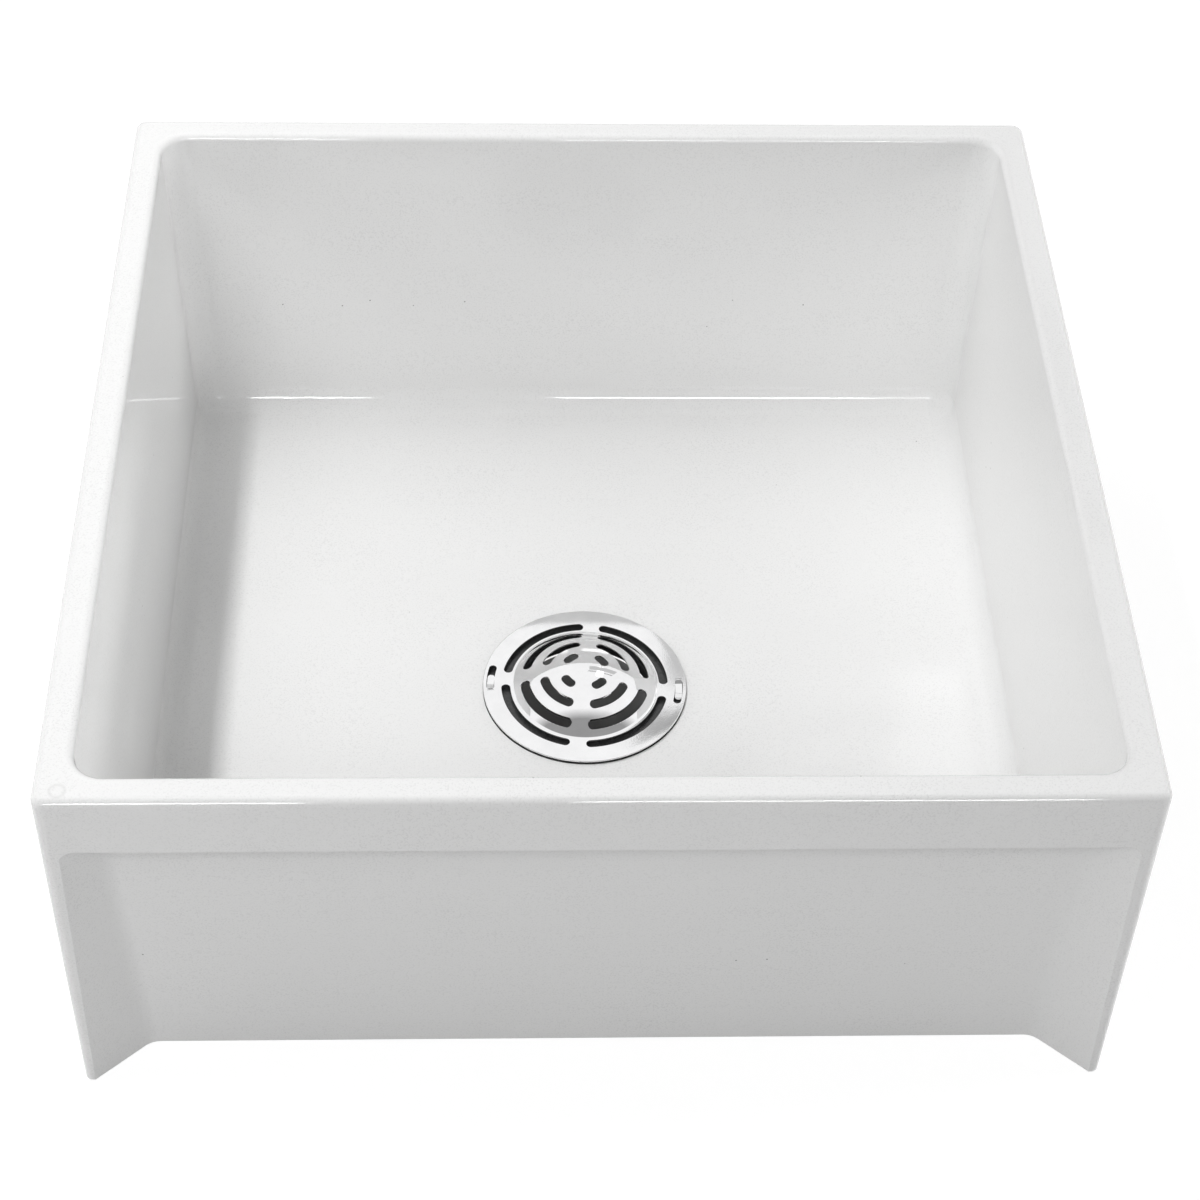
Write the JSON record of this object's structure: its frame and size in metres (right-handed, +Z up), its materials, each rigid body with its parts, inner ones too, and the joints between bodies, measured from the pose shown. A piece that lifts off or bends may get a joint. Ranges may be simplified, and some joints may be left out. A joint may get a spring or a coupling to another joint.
{
  "type": "mop service sink",
  "caption": "Square floor-standing mop service basin with corner legs, a thick flat rim, a clamped pipe drain in its floor and a slotted metal dome strainer that lifts out.",
  "frame": {"origin": "on the floor, under the middle of the basin and of the drain", "axes": "+Z up, -Y towards the front in the picture, +X to the right"},
  "size_m": [0.61, 0.61, 0.257],
  "materials": {
    "basin": "smooth glossy white moulded composite with faint grey specks",
    "drain_plastic": "moulded black plastic",
    "rubber": "plain black rubber",
    "fibre": "pressed fibre",
    "stainless": "polished stainless sheet"
  },
  "bodies": {
    "basin": {"basin": "basin", "drain_body": "drain_plastic", "drain_flange_gasket": "rubber", "underside_washer": "rubber", "slip_washer": "fibre", "locknut": "drain_plastic", "pipe_seal": "rubber", "compression_nut": "drain_plastic"},
    "cushion": {"strainer_cushion_ring": "rubber"},
    "strainer": {"dome_strainer": "stainless"}
  },
  "joints": [
    {"name": "strainer_lift", "type": "slide", "parent": "basin", "child": "cushion", "axis": [0, 0, 1], "range_m": [0, 0.25]},
    {"name": "strainer_turn", "type": "hinge", "parent": "cushion", "child": "strainer", "pos_m": [0, 0, 0.0141], "axis": [0, 0, 1], "range_deg": [-14, 0]}
  ]
}
